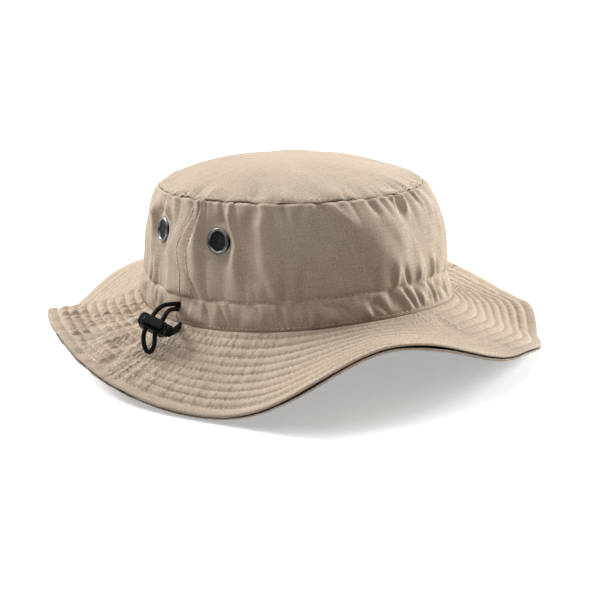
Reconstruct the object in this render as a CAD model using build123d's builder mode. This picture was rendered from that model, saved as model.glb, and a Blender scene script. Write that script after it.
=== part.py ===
"""Boonie hat: a soft crown, a wavy stitched brim, screened eyelets and a drawcord with its cord lock.

Everything is drawn in the hat's own frame: -Y is the front, -X the wearer's right, Z up out of the
plane of the seam between crown and brim. settle() then stands each finished piece on the table,
where the hat rests on its brim and leans back a little.
"""
import os
from math import cos, pi, radians, sin, sqrt

from build123d import *

os.makedirs("parts", exist_ok=True)

# ---- driving dimensions, millimetres and degrees ------------------------------------------------

# crown
BRIM_SEAM = dict(half_width=82.0, half_length=102.0, height=0.0, saddle=4.4)
TOP_SEAM = dict(half_width=73.2, half_length=79.1, height=65.9, saddle=0.0)
CLOTH = 1.0                 # crown cloth, its seam allowances pressed in
DOME_RISE = 15.0            # how far the crown's top stands above its seam
DOME_SHARE = 0.75           # of that rise, reached half-way in from the seam
TOP_GAP = 0.5               # the top's rim stands this far above the side's
SIDE_SEAM = 177.5           # heading of the wearer's right side seam; the left one is opposite
WALL_FOOT = 0.5             # the crown's side starts this far above the brim, along its slope

# brim
BRIM_WIDTH = 56.0           # along the slope of the cloth, seam to edge
LAYER_GAP = 0.2
UPPER_LAYER = 0.8
INTERLINING = 0.6
LOWER_LAYER = 0.8
EDGE_TURNING = 6.0          # the interlining stops this far short of the turned edge
SEAM_MARGIN = 1.3           # the brim runs in under the crown's side by this much
BRIM_SAG = 2.0              # half-way out, the brim sags this far below a straight slope
# heading, and droop below the seam's plane, at each dip and each arch of the brim, once round
BRIM_WAVES = [(-158, 35.0), (-119, -3.0), (-80, 18.0), (-45, 28.0), (-27, 13.2), (16, -6.3),
              (40, 2.8), (84, 7.0), (125, 22.0), (151, 3.5)]

# how the hat stands on the table
LEAN = 5.4                  # the crown leans back, away from its right front
LEAN_HEADING = 42.0
STANCE = (-0.47, -0.1, 27.07)  # where the centre of the brim seam's plane stands above the table

# sweatband and drawcord channel
SWEATBAND = 0.6
SWEATBAND_HEIGHT = 17.0
CHANNEL_GAP = 0.1           # between the crown's side and the sweatband sewn to it
CHANNEL_DEPTH = 3.1
CORD = 2.5                  # elastic drawcord, diameter
CORD_HEIGHT = 10.0          # the drawcord's line above the brim seam, along the crown's side
CORD_EXIT = (11.2, 7.2)     # opening left in the side seam, where both ends of the cord come out
CORD_EXIT_CORNER = 1.5
CORD_ENDS = 5.0             # the cord leaves its channel within this many degrees of the seam
CHANNEL_LEAD = 5.5          # its first run out of the channel

LABEL = 0.4                 # care label
LABEL_HEIGHT = 12.0
LABEL_SPAN = 24.0           # degrees of heading

# seam bindings, tapes inside the crown
BINDING = 0.5
BINDING_WIDTH = 8.0
BINDING_DROP = 1.0          # the crown seam's tape lies this far below the seam
BINDING_CLEARANCE = 1.5     # a side seam's tape ends this far from the sweatband

# screened eyelets, one each side of both side seams
EYELET_BORE = 5.6
EYELET_BARREL = 6.1
EYELET_FLANGE = 7.25
FLANGE_THICKNESS = 0.9
EYELET_TAIL = 1.5           # the barrel reaches this far inside the cloth, through its washer
EYELET_HEIGHT = 49.0
CLOTH_HOLE_CLEARANCE = 0.15
FLANGE_GAP = 0.1            # between the flange and the cloth
WASHER_GAP = 0.45
WASHER_THICKNESS = 0.5
WASHER_CLEARANCE = 0.05     # round the barrel, and round the screen inside it
EYELET_ROUNDING = 0.4
EYELETS = {"right_back": 162.9, "right_front": 193.2, "left_front": -17.1, "left_back": 13.2}
SCREEN = 0.4
SCREEN_DEPTH = 0.2          # the screen lies this far inside the cloth's face
SCREEN_PITCH = 1.5
SCREEN_HOLE = 0.9
SCREEN_COUNT = 6

# cord lock, in its own frame: X along its length, Y back up the cord, Z out of its button
LOCK_CENTRE = (-104.8, -2.0, 1.55)
LOCK_X = (0.455, -0.797, -0.398)
LOCK_Z = (-0.551, -0.604, 0.579)
LOCK_LENGTH = 16.3
LOCK_SHIFT = -0.25          # the housing's middle, along X
LOCK_THICKNESS = 7.5
LOCK_CORNER = 2.6
LOCK_FLOOR = -6.0
FLOOR_THICKNESS = 0.8
LOCK_RIM = 1.2
LOCK_ROUNDING = 0.5
BUTTON_LENGTH = 11.6
BUTTON_SHIFT = 0.6
BUTTON_THICKNESS = 4.8
BUTTON_TOP = 3.8
BUTTON_BOTTOM = -2.7
BUTTON_CORNER = 1.6
BUTTON_ROUNDING = 0.6
BUTTON_TRAVEL = 1.5
BUTTON_PLAY = 0.2
CORD_HOLES = (-2.4, 3.6)
CORD_CLEARANCE = 0.15
CORD_LINE = -0.6            # height of the cord's line through the lock
SPRING_WIRE = 0.35
SPRING_RADIUS = 1.6
SPRING_TURNS = 3
SPRING_GAP = 0.05           # above and below the spring
EYE_SLOT = 1.3              # the tether's eye, past the housing's end
EYE_BAR = 1.2
EYE_OVERLAP = 2.0           # the eye's lug starts this far inside the housing's end
EYE_INSET = 0.6             # the lug is this much narrower than the housing
TETHER = 0.8                # webbing thickness
TETHER_WIDTH = 5.0
TETHER_GAP = 0.1            # between the webbing and the bar
TETHER_ROOT = (-83.4, 1.5, -3.9)
TETHER_FOLD = (3.0, 1.6)    # width and thickness of the webbing where it is folded into the seam

# The cord from its channel to the lock, and the loop below it, as points of the hat's own frame.
# The ends inside the channel and inside the lock's holes are worked out where the cord is made.
BACK_STRAND = [(-81.2, 5.9, 6.9), (-86.9, 4.1, 8.1), (-93.2, 2.4, 9.1), (-98.8, 1.0, 8.1)]
FRONT_STRAND = [(-81.2, 4.8, 4.2), (-86.3, 3.0, 5.3), (-91.8, 0.0, 6.3), (-96.5, -3.1, 5.4)]
LOOP = [(-110.0, 0.3, -5.45), (-110.1, 0.0, -9.75), (-109.5, -1.5, -13.35), (-108.4, -3.9, -13.55),
        (-107.6, -5.5, -10.45), (-106.9, -5.8, -7.35)]
CORD_LEAD = 4.6             # the cord runs straight for this far from the middle of the lock
LOOP_SPLIT = -8.1           # level where the loop's legs end and its sliding end begins
CORNER_SHARE = 0.45         # of the shorter run at a corner, taken up by its arc

# steps of heading from one lofted section to the next
WALL_STEP = 15.0
BRIM_STEP = 7.5
BAND_STEP = 14.36


# ---- the hat's own geometry ---------------------------------------------------------------------

def out_from(heading):
    """Level direction straight out of the hat at a heading."""
    return Vector(cos(radians(heading)), sin(radians(heading)), 0)


def ring_point(heading, half_width, half_length, height, saddle):
    """Point of an oval ring that faces this heading; the ring rises by the saddle at front and back."""
    across = half_width * cos(radians(heading))
    along = half_length * sin(radians(heading))
    reach = sqrt(across**2 + along**2)
    rise = saddle * (along**2 - across**2) / reach**2
    return Vector(half_width * across / reach, half_length * along / reach, height + rise)


def wall_plane(heading):
    """Section plane of the crown's side: X straight out of the cloth, Y up along it."""
    foot = ring_point(heading, **BRIM_SEAM)
    up = (ring_point(heading, **TOP_SEAM) - foot).normalized()
    across = out_from(heading).cross(up).normalized()
    return Plane(origin=foot, x_dir=up.cross(across), z_dir=across)


def wall_height(heading):
    return (ring_point(heading, **TOP_SEAM) - ring_point(heading, **BRIM_SEAM)).length


def wall_face_plane(heading, up):
    """Plane lying on the outside of the crown's side, Z straight out of the cloth."""
    section = wall_plane(heading)
    return Plane(origin=section.from_local_coords((0, up)), x_dir=-section.z_dir, z_dir=section.x_dir)


def brim_plane(heading):
    """Upright section plane of the brim: X level and outward, Y up."""
    outward = out_from(heading)
    return Plane(origin=ring_point(heading, **BRIM_SEAM), x_dir=outward, z_dir=outward.cross(Vector(0, 0, 1)))


def brim_droop(heading):
    """Droop of the brim at a heading, easing from each dip to the next arch."""
    waves = BRIM_WAVES + [(BRIM_WAVES[0][0] + 360, BRIM_WAVES[0][1])]
    turn = (heading - waves[0][0]) % 360 + waves[0][0]
    for (start, first), (end, last) in zip(waves, waves[1:]):
        if start <= turn <= end:
            share = (1 - cos(radians(180 * (turn - start) / (end - start)))) / 2
            return first + (last - first) * share


def brim_curve(heading, depth, width):
    """Start, control point and end of the brim's sagging slope, this deep below its top surface."""
    droop = brim_droop(heading)
    level = -depth / cos(radians(droop))
    share = width / BRIM_WIDTH
    middle = (width / 2) * (sin(radians(droop)) + 4 * BRIM_SAG / BRIM_WIDTH)
    drop = width * sin(radians(droop)) + 4 * BRIM_SAG * share * (1 - share)
    return [(0, level), (width / 2 * cos(radians(droop)), level - middle),
            (width * cos(radians(droop)), level - drop)]


def headings(start, end, step):
    """Evenly spaced headings from start to end, both included."""
    count = round(abs(end - start) / step)
    return [start + (end - start) * turn / count for turn in range(count + 1)]


def settle(piece, name):
    """Stand a finished piece on the table, name it and write it."""
    lean = Vector(sin(radians(LEAN)) * cos(radians(LEAN_HEADING)),
                  sin(radians(LEAN)) * sin(radians(LEAN_HEADING)), cos(radians(LEAN)))
    level = Vector(0, 1, 0).cross(lean)
    piece.part = Plane(origin=STANCE, x_dir=level, z_dir=lean).location * piece.part
    piece.part.label = name
    export_step(piece.part, f"parts/{name}.step")


HALVES = {"back": (SIDE_SEAM, SIDE_SEAM - 180), "front": (SIDE_SEAM - 180, SIDE_SEAM - 360)}
BAND = (90, -269)           # a band runs once round, from a butt joint at the back

# ---- crown --------------------------------------------------------------------------------------

# The top is an oval dome of one cloth, drawn as a round one and narrowed.
dome_foot = TOP_SEAM["height"] + TOP_GAP
shoulder = dome_foot + DOME_SHARE * DOME_RISE
summit = dome_foot + DOME_RISE
with BuildPart() as crown_top:
    with BuildSketch(Plane.XZ):
        with BuildLine():
            radius = TOP_SEAM["half_length"]
            Line((radius - CLOTH, dome_foot), (radius, dome_foot))
            ThreePointArc((radius, dome_foot), (radius / 2, shoulder), (0, summit))
            Line((0, summit), (0, summit - CLOTH))
            ThreePointArc((0, summit - CLOTH), (radius / 2, shoulder - CLOTH), (radius - CLOTH, dome_foot))
        make_face()
    revolve(axis=Axis.Z)
    scale(by=(TOP_SEAM["half_width"] / TOP_SEAM["half_length"], 1, 1))
settle(crown_top, "crown_top")

# The side is a front and a back panel, joined at the side seams.
for half, (start, end) in HALVES.items():
    with BuildPart() as crown_side:
        for heading in headings(start, end, WALL_STEP):
            with BuildSketch(wall_plane(heading)):
                with BuildLine():
                    Polyline((-CLOTH, WALL_FOOT), (0, WALL_FOOT), (0, wall_height(heading)),
                             (-CLOTH, wall_height(heading)), close=True)
                make_face()
        loft()
        for heading in EYELETS.values():
            with BuildSketch(wall_face_plane(heading, EYELET_HEIGHT)):
                Circle(EYELET_BARREL + CLOTH_HOLE_CLEARANCE)
            extrude(amount=4 * CLOTH, both=True, mode=Mode.SUBTRACT)
        with BuildSketch(wall_face_plane(SIDE_SEAM, CORD_HEIGHT)):
            RectangleRounded(*CORD_EXIT, CORD_EXIT_CORNER)
        extrude(amount=3 * CLOTH, both=True, mode=Mode.SUBTRACT)
    settle(crown_side, f"crown_side_{half}")

# A binding tape covers the inside of the seam between top and side.
with BuildPart() as crown_seam_binding:
    for heading in headings(*BAND, BAND_STEP):
        top = wall_height(heading) - BINDING_DROP
        with BuildSketch(wall_plane(heading)):
            with BuildLine():
                Polyline((-CLOTH - LAYER_GAP - BINDING, top - BINDING_WIDTH),
                         (-CLOTH - LAYER_GAP, top - BINDING_WIDTH),
                         (-CLOTH - LAYER_GAP, top), (-CLOTH - LAYER_GAP - BINDING, top), close=True)
            make_face()
    loft()
settle(crown_seam_binding, "crown_seam_binding")

# Each side seam is bound too, from the sweatband up to the crown seam's binding.
for side, heading in {"right": SIDE_SEAM, "left": SIDE_SEAM - 180}.items():
    low = SWEATBAND_HEIGHT + BINDING_CLEARANCE
    high = wall_height(heading) - 2 * BINDING_DROP - BINDING_WIDTH
    with BuildPart() as side_seam_binding:
        with BuildSketch(wall_face_plane(heading, (low + high) / 2).offset(-CLOTH - LAYER_GAP - BINDING)):
            Rectangle(BINDING_WIDTH, high - low)
        extrude(amount=BINDING)
    settle(side_seam_binding, f"side_seam_binding_{side}")

# ---- brim: upper cloth, interlining and lower cloth, each a front and a back panel -------------

LAYERS = {
    "brim_upper": (0, UPPER_LAYER, BRIM_WIDTH),
    "brim_interlining": (UPPER_LAYER + LAYER_GAP, INTERLINING, BRIM_WIDTH - EDGE_TURNING),
    "brim_lower": (UPPER_LAYER + INTERLINING + 2 * LAYER_GAP, LOWER_LAYER, BRIM_WIDTH),
}
for layer, (depth, thickness, width) in LAYERS.items():
    for half, (start, end) in HALVES.items():
        with BuildPart() as brim_panel:
            for heading in headings(start, end, BRIM_STEP):
                top = brim_curve(heading, depth, width)
                bottom = brim_curve(heading, depth + thickness, width)
                with BuildSketch(brim_plane(heading)):
                    with BuildLine():
                        Bezier(*top)
                        Line(top[2], bottom[2])
                        Bezier(*bottom)
                        Polyline(bottom[0], (-SEAM_MARGIN, bottom[0][1]), (-SEAM_MARGIN, top[0][1]), top[0])
                    make_face()
            loft()
        settle(brim_panel, f"{layer}_{half}")

# ---- sweatband and the drawcord in its channel -------------------------------------------------

channel_wall = -CLOTH - CHANNEL_GAP
channel_back = channel_wall - CHANNEL_DEPTH
with BuildPart() as sweatband:
    for heading in headings(*BAND, BAND_STEP):
        with BuildSketch(wall_plane(heading)):
            with BuildLine():
                Polyline((channel_wall, WALL_FOOT), (channel_wall, WALL_FOOT + SWEATBAND),
                         (channel_back, WALL_FOOT + SWEATBAND), (channel_back, SWEATBAND_HEIGHT - SWEATBAND),
                         (channel_wall, SWEATBAND_HEIGHT - SWEATBAND), (channel_wall, SWEATBAND_HEIGHT),
                         (channel_back - SWEATBAND, SWEATBAND_HEIGHT), (channel_back - SWEATBAND, WALL_FOOT),
                         close=True)
            make_face()
    loft()
settle(sweatband, "sweatband")

cord_inset = channel_wall - CHANNEL_DEPTH / 2
with BuildPart() as drawcord_run:
    for heading in headings(SIDE_SEAM - CORD_ENDS, SIDE_SEAM - 360 + CORD_ENDS, BAND_STEP):
        with BuildSketch(wall_plane(heading)):
            with Locations((cord_inset, CORD_HEIGHT)):
                Circle(CORD / 2)
    loft()
settle(drawcord_run, "drawcord_run")

# A blank care label lies against the sweatband at the back, sewn into its top edge.
label_face = channel_back - SWEATBAND - LAYER_GAP
with BuildPart() as care_label:
    for heading in headings(90 - LABEL_SPAN / 2, 90 + LABEL_SPAN / 2, LABEL_SPAN / 4):
        with BuildSketch(wall_plane(heading)):
            with BuildLine():
                Polyline((label_face, SWEATBAND_HEIGHT - LABEL_HEIGHT), (label_face, SWEATBAND_HEIGHT),
                         (label_face - LABEL, SWEATBAND_HEIGHT),
                         (label_face - LABEL, SWEATBAND_HEIGHT - LABEL_HEIGHT), close=True)
            make_face()
    loft()
settle(care_label, "care_label")

# ---- screened eyelets --------------------------------------------------------------------------

for place, heading in EYELETS.items():
    cloth = wall_face_plane(heading, EYELET_HEIGHT)
    inner = cloth.offset(-CLOTH - WASHER_GAP)

    with BuildPart() as eyelet:
        with BuildSketch(cloth.offset(FLANGE_GAP)):
            Circle(EYELET_FLANGE)
            Circle(EYELET_BORE, mode=Mode.SUBTRACT)
        extrude(amount=FLANGE_THICKNESS)
        outer_face = eyelet.faces().sort_by(Axis(cloth.origin, cloth.z_dir))[-1]
        fillet(outer_face.edges(), radius=EYELET_ROUNDING)
        with BuildSketch(cloth.offset(FLANGE_GAP)):
            Circle(EYELET_BARREL)
            Circle(EYELET_BORE, mode=Mode.SUBTRACT)
        extrude(amount=-CLOTH - EYELET_TAIL)
    settle(eyelet, f"eyelet_{place}")

    with BuildPart() as washer:
        with BuildSketch(inner):
            Circle(EYELET_FLANGE)
            Circle(EYELET_BARREL + WASHER_CLEARANCE, mode=Mode.SUBTRACT)
        extrude(amount=-WASHER_THICKNESS)
    settle(washer, f"eyelet_washer_{place}")

    with BuildPart() as screen:
        with BuildSketch(cloth.offset(-SCREEN_DEPTH)):
            Circle(EYELET_BORE - WASHER_CLEARANCE)
            with GridLocations(SCREEN_PITCH, SCREEN_PITCH, SCREEN_COUNT, SCREEN_COUNT):
                Rectangle(SCREEN_HOLE, SCREEN_HOLE, mode=Mode.SUBTRACT)
        extrude(amount=-SCREEN)
    settle(screen, f"eyelet_screen_{place}")

# ---- cord lock ---------------------------------------------------------------------------------

LOCK = Plane(origin=LOCK_CENTRE, x_dir=LOCK_X, z_dir=LOCK_Z)


def lock_level(height):
    """Plane across the lock at a height along its button's travel."""
    return LOCK.offset(height)


def cord_bore(position):
    """Plane across the lock's cord line, centred on one cord hole, its normal back up the cord."""
    return Plane(origin=LOCK.from_local_coords((position, 0, CORD_LINE)), x_dir=LOCK.x_dir, z_dir=LOCK.y_dir)


housing_end = LOCK_SHIFT + LOCK_LENGTH / 2
bar_middle = housing_end + EYE_SLOT + EYE_BAR / 2
well_floor = LOCK_FLOOR + FLOOR_THICKNESS
with BuildPart() as cord_lock_body:
    with BuildSketch(lock_level(LOCK_FLOOR)):
        with Locations((LOCK_SHIFT, 0)):
            RectangleRounded(LOCK_LENGTH, LOCK_THICKNESS, LOCK_CORNER)
    extrude(amount=LOCK_RIM - LOCK_FLOOR)
    ends = cord_lock_body.faces().sort_by(Axis(LOCK.origin, LOCK.z_dir))
    fillet(ends[0].edges() + ends[-1].edges(), radius=LOCK_ROUNDING)
    with BuildSketch(lock_level(CORD_LINE - EYE_BAR / 2)):
        with Locations((housing_end + (EYE_SLOT + EYE_BAR - EYE_OVERLAP) / 2, 0)):
            Rectangle(EYE_SLOT + EYE_BAR + EYE_OVERLAP, LOCK_THICKNESS - EYE_INSET)
        with Locations((housing_end + EYE_SLOT / 2, 0)):
            Rectangle(EYE_SLOT, TETHER_WIDTH + EYE_INSET, mode=Mode.SUBTRACT)
    extrude(amount=EYE_BAR)
    with BuildSketch(lock_level(well_floor)):
        with Locations((BUTTON_SHIFT, 0)):
            RectangleRounded(BUTTON_LENGTH + 2 * BUTTON_PLAY, BUTTON_THICKNESS + 2 * BUTTON_PLAY,
                             BUTTON_CORNER + BUTTON_PLAY)
    extrude(amount=LOCK_RIM - LOCK_FLOOR, mode=Mode.SUBTRACT)
    for position in CORD_HOLES:
        with BuildSketch(cord_bore(position)):
            Circle(CORD / 2 + CORD_CLEARANCE)
        extrude(amount=LOCK_THICKNESS, both=True, mode=Mode.SUBTRACT)
settle(cord_lock_body, "cord_lock_body")

with BuildPart() as cord_lock_button:
    with BuildSketch(lock_level(BUTTON_BOTTOM)):
        with Locations((BUTTON_SHIFT, 0)):
            RectangleRounded(BUTTON_LENGTH, BUTTON_THICKNESS, BUTTON_CORNER)
    extrude(amount=BUTTON_TOP - BUTTON_BOTTOM)
    thumb_face = cord_lock_button.faces().sort_by(Axis(LOCK.origin, LOCK.z_dir))[-1]
    fillet(thumb_face.edges(), radius=BUTTON_ROUNDING)
    # Each cord slot is as long as the travel, so that pressing the button frees the cord.
    for position in CORD_HOLES:
        with BuildSketch(cord_bore(position)):
            with Locations((0, BUTTON_TRAVEL / 2)):
                slot_width = CORD + 2 * CORD_CLEARANCE
                SlotOverall(slot_width + BUTTON_TRAVEL, slot_width, rotation=90)
        extrude(amount=LOCK_THICKNESS, both=True, mode=Mode.SUBTRACT)
settle(cord_lock_button, "cord_lock_button")

spring_room = BUTTON_BOTTOM - well_floor - SPRING_WIRE - 2 * SPRING_GAP
with BuildPart() as cord_lock_spring:
    spring_foot = LOCK.from_local_coords((BUTTON_SHIFT, 0, well_floor + SPRING_GAP + SPRING_WIRE / 2))
    with BuildLine():
        coil = Helix(spring_room / SPRING_TURNS, spring_room, SPRING_RADIUS,
                     center=spring_foot, direction=LOCK.z_dir)
    with BuildSketch(Plane(origin=coil @ 0, z_dir=coil % 0)):
        Circle(SPRING_WIRE / 2)
    sweep()
settle(cord_lock_spring, "cord_lock_spring")

# The tether is a webbing tab: it loops round the lock's bar and narrows into the brim seam.
loop_inside = EYE_BAR / 2 + TETHER_GAP
loop_outside = loop_inside + TETHER
with BuildPart() as tether:
    with BuildSketch(Plane(origin=LOCK.from_local_coords((bar_middle, 0, CORD_LINE)),
                           x_dir=LOCK.x_dir, z_dir=-LOCK.y_dir)):
        Rectangle(2 * loop_outside, 2 * loop_outside)
        Rectangle(2 * loop_inside, 2 * loop_inside, mode=Mode.SUBTRACT)
    extrude(amount=TETHER_WIDTH / 2, both=True)
    with BuildSketch(Plane(origin=LOCK.from_local_coords((bar_middle, 0, CORD_LINE - loop_outside)),
                           x_dir=LOCK.y_dir, z_dir=-LOCK.z_dir)):
        Rectangle(TETHER_WIDTH, 2 * loop_outside)
    with BuildSketch(Plane(origin=TETHER_ROOT, x_dir=(0, 0, 1), z_dir=(1, 0, 0))):
        Rectangle(TETHER_FOLD[1], TETHER_FOLD[0])
    loft()
settle(tether, "tether")

# ---- free stretch of the drawcord --------------------------------------------------------------


def turn_radii(points):
    """Radius of the arc at each corner of a cord's route: as large as its two runs allow."""
    radii = []
    for before, corner, after in zip(points, points[1:], points[2:]):
        arriving = corner - before
        leaving = after - corner
        half_turn = radians(arriving.get_angle(leaving)) / 2
        radii.append(CORNER_SHARE * min(arriving.length, leaving.length) * cos(half_turn) / sin(half_turn))
    return radii


def cord_route(points, name):
    """Straight runs joined by tangent arcs; prints the radii."""
    radii = turn_radii(points)
    print(name, "radii", [round(radius, 1) for radius in radii])
    return FilletPolyline(*points, radius=radii)


def cord_tube(points, name):
    """A closed tube of cord along its route; its volume is printed beside section times length."""
    with BuildPart() as tube:
        with BuildLine():
            route = cord_route(points, name)
        with BuildSketch(Plane(origin=route @ 0, z_dir=route % 0)):
            Circle(CORD / 2)
        sweep()
    section = pi * (CORD / 2) ** 2
    print(name, "length", round(route.length, 2), "volume", round(tube.part.volume, 2),
          "section x length", round(section * route.length, 2))
    return tube.part


def channel_end(heading, toward):
    """The channel's end of a strand: its first point, and a second one straight on towards the seam."""
    section = wall_plane(heading)
    start = section.from_local_coords((cord_inset, CORD_HEIGHT, 0))
    return [start, start + section.z_dir * toward]


def lock_point(position, along):
    return LOCK.from_local_coords((position, along, CORD_LINE))


routes = {
    "cord_strand_back": (channel_end(SIDE_SEAM - CORD_ENDS, -CHANNEL_LEAD), BACK_STRAND, CORD_HOLES[0]),
    "cord_strand_front": (channel_end(SIDE_SEAM + CORD_ENDS, CHANNEL_LEAD), FRONT_STRAND, CORD_HOLES[1]),
}
for name, (start, strand, hole) in routes.items():
    points = start + [Vector(*point) for point in strand] + [lock_point(hole, CORD_LEAD), lock_point(hole, 0)]
    with BuildPart() as cord_strand:
        add(cord_tube(points, name))
    settle(cord_strand, name)

loop_points = ([lock_point(CORD_HOLES[0], 0), lock_point(CORD_HOLES[0], -CORD_LEAD)]
               + [Vector(*point) for point in LOOP]
               + [lock_point(CORD_HOLES[1], -CORD_LEAD), lock_point(CORD_HOLES[1], 0)])
loop_tube = cord_tube(loop_points, "loop")
for name, side in {"cord_legs": Keep.TOP, "cord_loop_end": Keep.BOTTOM}.items():
    with BuildPart() as loop_piece:
        add(loop_tube)
        split(bisect_by=Plane.XY.offset(LOOP_SPLIT), keep=side)
    settle(loop_piece, name)
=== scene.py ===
"""Boonie hat: sewn cloth, stitching, cords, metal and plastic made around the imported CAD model.

Lengths are millimetres in the hat's own frame: -Y is the front, -X the wearer's right, Z up out of the
plane of the seam between crown and brim. stand() turns them into metres of the row frame.
"""

import math

import bpy
import numpy as np
from mathutils import Matrix, Vector


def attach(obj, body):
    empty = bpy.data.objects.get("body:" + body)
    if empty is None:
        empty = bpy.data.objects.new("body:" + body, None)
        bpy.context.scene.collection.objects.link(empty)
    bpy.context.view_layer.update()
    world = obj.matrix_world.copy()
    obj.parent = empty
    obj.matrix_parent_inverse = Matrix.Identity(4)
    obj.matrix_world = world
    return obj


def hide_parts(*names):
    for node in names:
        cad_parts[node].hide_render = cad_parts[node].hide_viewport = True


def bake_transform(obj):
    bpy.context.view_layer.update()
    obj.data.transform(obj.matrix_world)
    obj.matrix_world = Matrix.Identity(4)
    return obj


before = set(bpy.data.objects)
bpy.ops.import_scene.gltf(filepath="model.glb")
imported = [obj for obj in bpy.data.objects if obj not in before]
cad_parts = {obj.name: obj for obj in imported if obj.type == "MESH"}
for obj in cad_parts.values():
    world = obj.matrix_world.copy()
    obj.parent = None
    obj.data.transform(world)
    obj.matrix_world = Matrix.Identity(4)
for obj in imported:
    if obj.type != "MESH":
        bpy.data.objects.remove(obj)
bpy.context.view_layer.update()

MM = 0.001

# ---- the hat's dimensions, as in the CAD model ----

LEAN = 5.4
LEAN_HEADING = 42.0
STANCE = np.array([-0.47, -0.1, 27.07])

BRIM_SEAM = dict(half_width=82.0, half_length=102.0, height=0.0, saddle=4.4)
TOP_SEAM = dict(half_width=73.2, half_length=79.1, height=65.9, saddle=0.0)
DOME_RISE = 15.0
DOME_FULLNESS = 2.7         # how squarely the crown's top turns down into its seam
TOP_GAP = 0.5
SIDE_SEAM = 177.5           # heading of the wearer's right side seam
LEFT_SEAM = SIDE_SEAM - 180
ROUND_START = SIDE_SEAM - 360

BRIM_WIDTH = 56.0
BRIM_THICKNESS = 2.6
BRIM_SAG = 2.0
BRIM_WAVES = [(-158, 35.0), (-119, -3.0), (-80, 18.0), (-45, 28.0), (-27, 13.2), (16, -6.3),
              (40, 2.8), (84, 7.0), (125, 22.0), (151, 3.5), (202, 35.0)]

CHANNEL_INSIDE = -1.1       # the sweatband stands off the side by this, and the channel is this deep
CHANNEL_DEPTH = 3.1
SWEATBAND_HEIGHT = 17.0
CORD = 2.5
CORD_HEIGHT = 10.0
CORD_ENDS = 5.0
CHANNEL_LEAD = 5.5

SEAM_PITCH = 1.36           # millimetres of the side's cloth in one degree, at the side seams
EYELET_PITCH = 1.27         # the same at the height of the eyelets
FOLD_PITCH = 1.35           # and for the single folds

EYELET_HEIGHT = 49.0
EYELETS = {"right_back": 162.9, "right_front": -166.8, "left_front": -17.1, "left_back": 13.2}

LOCK_CENTRE = np.array([-104.8, -2.0, 1.55])
LOCK_X = np.array([0.455, -0.797, -0.398])
LOCK_Z = np.array([-0.551, -0.604, 0.579])
CORD_HOLES = (-2.4, 3.6)
CORD_LINE = -0.6
CORD_LEAD = 4.6
BAR_MIDDLE = 9.8            # the tether's bar, along the lock
TETHER_WIDTH = 5.0
TETHER_ROOT = np.array([-83.4, 1.5, -3.9])
TETHER_FOLD = (3.0, 1.6)

BACK_STRAND = [(-81.2, 5.9, 6.9), (-86.9, 4.1, 8.1), (-93.2, 2.4, 9.1), (-98.8, 1.0, 8.1)]
FRONT_STRAND = [(-81.2, 4.8, 4.2), (-86.3, 3.0, 5.3), (-91.8, 0.0, 6.3), (-96.5, -3.1, 5.4)]
LOOP = [(-110.0, 0.3, -5.45), (-110.1, 0.0, -9.75), (-109.5, -1.5, -13.35), (-108.4, -3.9, -13.55),
        (-107.6, -5.5, -10.45), (-106.9, -5.8, -7.35)]


# ---- frames and small helpers ----

def unit(vectors):
    return vectors / np.linalg.norm(vectors, axis=-1, keepdims=True)


lean_turn, lean_heading = math.radians(LEAN), math.radians(LEAN_HEADING)
hat_z = np.array([math.sin(lean_turn) * math.cos(lean_heading),
                  math.sin(lean_turn) * math.sin(lean_heading), math.cos(lean_turn)])
hat_x = unit(np.cross((0.0, 1.0, 0.0), hat_z))
HAT_AXES = np.array([hat_x, np.cross(hat_z, hat_x), hat_z])

lock_z = unit(LOCK_Z)
lock_x = unit(LOCK_X - lock_z * (LOCK_X @ lock_z))
LOCK_AXES = np.array([lock_x, np.cross(lock_z, lock_x), lock_z])


def stand(points):
    """Points of the hat's frame, in millimetres, as points of the row frame, in metres."""
    return (STANCE + np.asarray(points, float) @ HAT_AXES) * MM


def in_lock(points):
    """Points of the cord lock's frame as points of the hat's frame."""
    return LOCK_CENTRE + np.asarray(points, float) @ LOCK_AXES


def ease(value, low, high):
    """0 up to low, 1 from high on, and a smooth step between them."""
    share = np.clip((value - low) / (high - low), 0, 1)
    return share * share * (3 - 2 * share)


def bump(distance, width):
    return np.exp(-(distance / width) ** 2)


def profile(value, knots):
    """Value of a curve given by (place, value) pairs, easing from each to the next."""
    value = np.asarray(value, float)
    result = np.full(value.shape, float(knots[0][1]))
    for (start, first), (end, last) in zip(knots, knots[1:]):
        result = np.where(value >= start, first + (last - first) * ease(value, start, end), result)
    return result


def away(heading, centre):
    """Signed difference of two headings, from -180 to 180."""
    return (heading - centre + 180) % 360 - 180


def by_heading(heading, knots):
    """A profile whose places are headings."""
    return profile(away(heading, 0), knots)


def matched(*values):
    """The values as arrays of one shape."""
    return np.broadcast_arrays(*(np.asarray(value, float) for value in values))


def flat_direction(turn):
    return np.stack([np.cos(turn), np.sin(turn), np.zeros_like(turn)], -1)


def lengths_along(points):
    """Length along a line of points, up to each of them."""
    return np.concatenate([[0], np.cumsum(np.linalg.norm(np.diff(points, axis=0), axis=1))])


def placed(name, data):
    """A new object in the scene."""
    made = bpy.data.objects.new(name, data)
    bpy.context.scene.collection.objects.link(made)
    return made


def coat(node, material):
    """Gives a CAD node's own mesh a material."""
    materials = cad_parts[node].data.materials
    materials.clear()
    materials.append(material)


def on_hat(piece, node):
    """A piece that rides on the hat in place of a CAD node, which is hidden."""
    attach(piece, "hat")
    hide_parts(node)


def grid(first, second):
    return np.meshgrid(first, second, indexing="ij")


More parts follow.
